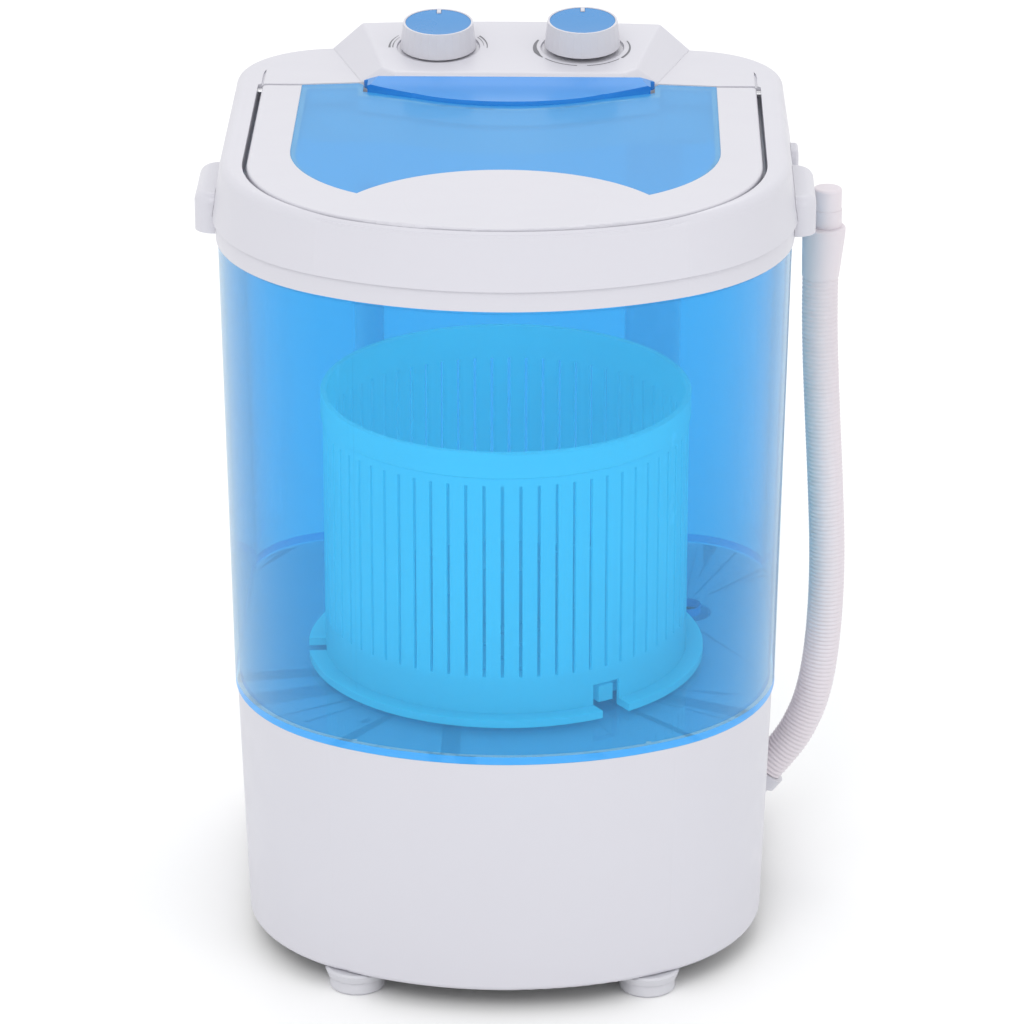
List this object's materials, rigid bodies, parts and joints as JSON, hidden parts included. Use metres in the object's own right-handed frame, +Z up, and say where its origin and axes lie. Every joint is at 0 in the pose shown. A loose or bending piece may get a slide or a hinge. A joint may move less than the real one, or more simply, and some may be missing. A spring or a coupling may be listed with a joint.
{
  "type": "mini washing machine",
  "caption": "Compact top-loading washing machine with a clear tub, lift-out spin basket, hinged lid, control dials and side drain hose.",
  "frame": {"origin": "on the floor under the middle of the body", "axes": "+X to the user's right, -Y to the front, +Z up"},
  "size_m": [0.3807, 0.3596, 0.5136],
  "materials": {
    "white_plastic": "semi-gloss moulded",
    "blue_clear_plastic": "clear tinted, polished",
    "basket_plastic": "tinted, polished",
    "window_plastic": "clear tinted, polished",
    "cap_plastic": "satin",
    "hose_plastic": "ribbed, slightly translucent",
    "grey_plastic": "moulded",
    "rubber": "matte",
    "steel": "zinc plated",
    "painted_steel": "satin",
    "aluminium": "die cast",
    "iron": "laminated"
  },
  "bodies": {
    "cabinet": {"base_housing": "white_plastic", "bottom_plate": "grey_plastic", "foot_front_left": "rubber", "foot_front_right": "rubber", "foot_rear_left": "rubber", "foot_rear_right": "rubber", "foot_screws": "steel", "bottom_plate_screws": "steel", "tub_drum": "blue_clear_plastic", "bearing_housing": "aluminium", "bearing_housing_screws": "steel", "bearing_lower": "steel", "bearing_upper": "steel", "shaft_seal": "rubber", "drive_belt": "rubber", "motor_casing": "aluminium", "motor_stator": "iron", "motor_bracket": "painted_steel", "motor_screws": "steel", "motor_capacitor": "grey_plastic", "capacitor_clip": "painted_steel", "top_housing": "white_plastic", "lid_bumpers": "rubber", "splash_lens": "window_plastic", "control_panel": "white_plastic", "programme_switch": "grey_plastic", "timer_case": "grey_plastic", "handle_left": "white_plastic", "handle_right": "white_plastic", "hose_hook": "white_plastic", "drain_pipe": "rubber", "drain_outlet": "white_plastic", "drain_hose": "hose_plastic", "hose_collar": "hose_plastic", "hose_nozzle": "white_plastic", "nozzle_cap": "white_plastic", "wire_duct": "blue_clear_plastic", "overflow_pipe": "blue_clear_plastic", "cable_grommet": "rubber"},
    "lid": {"lid_frame": "white_plastic", "lid_window": "window_plastic", "lid_hinge_pins": "steel"},
    "programme_dial": {"programme_knob": "white_plastic", "programme_knob_cap": "cap_plastic", "programme_shaft": "steel"},
    "timer_dial": {"timer_knob": "white_plastic", "timer_knob_cap": "cap_plastic", "timer_shaft": "steel"},
    "drive": {"pulsator": "basket_plastic", "pulsator_screw": "steel", "drive_shaft": "steel", "drive_pulley": "grey_plastic", "drive_pulley_nut": "steel"},
    "basket": {"spin_basket": "basket_plastic"},
    "rotor": {"motor_rotor": "iron", "motor_shaft": "steel", "motor_pulley": "grey_plastic"}
  },
  "joints": [
    {"name": "lid_hinge", "type": "hinge", "parent": "cabinet", "child": "lid", "pos_m": [0, 0.089, 0.4784], "axis": [-1, 0, 0], "range_deg": [0, 93]},
    {"name": "programme_turn", "type": "hinge", "parent": "cabinet", "child": "programme_dial", "pos_m": [-0.043, 0.131, 0.49407], "axis": [0, -0.1045, 0.9945], "range_deg": [-60, 60]},
    {"name": "timer_turn", "type": "hinge", "parent": "cabinet", "child": "timer_dial", "pos_m": [0.043, 0.131, 0.49407], "axis": [0, -0.1045, 0.9945], "range_deg": [-330, 0]},
    {"name": "drive_spin", "type": "hinge", "parent": "cabinet", "child": "drive", "pos_m": [0, -0.017, 0.15], "axis": [0, 0, 1], "continuous": true},
    {"name": "basket_lift", "type": "slide", "parent": "drive", "child": "basket", "axis": [0, 0, 1], "range_m": [0, 0.1]},
    {"name": "rotor_spin", "type": "hinge", "parent": "cabinet", "child": "rotor", "pos_m": [0, 0.095, 0.12], "axis": [0, 0, 1], "continuous": true}
  ],
  "couplings": [
    {"joint": "rotor_spin", "follows": "drive_spin", "ratio": 4.3333}
  ]
}
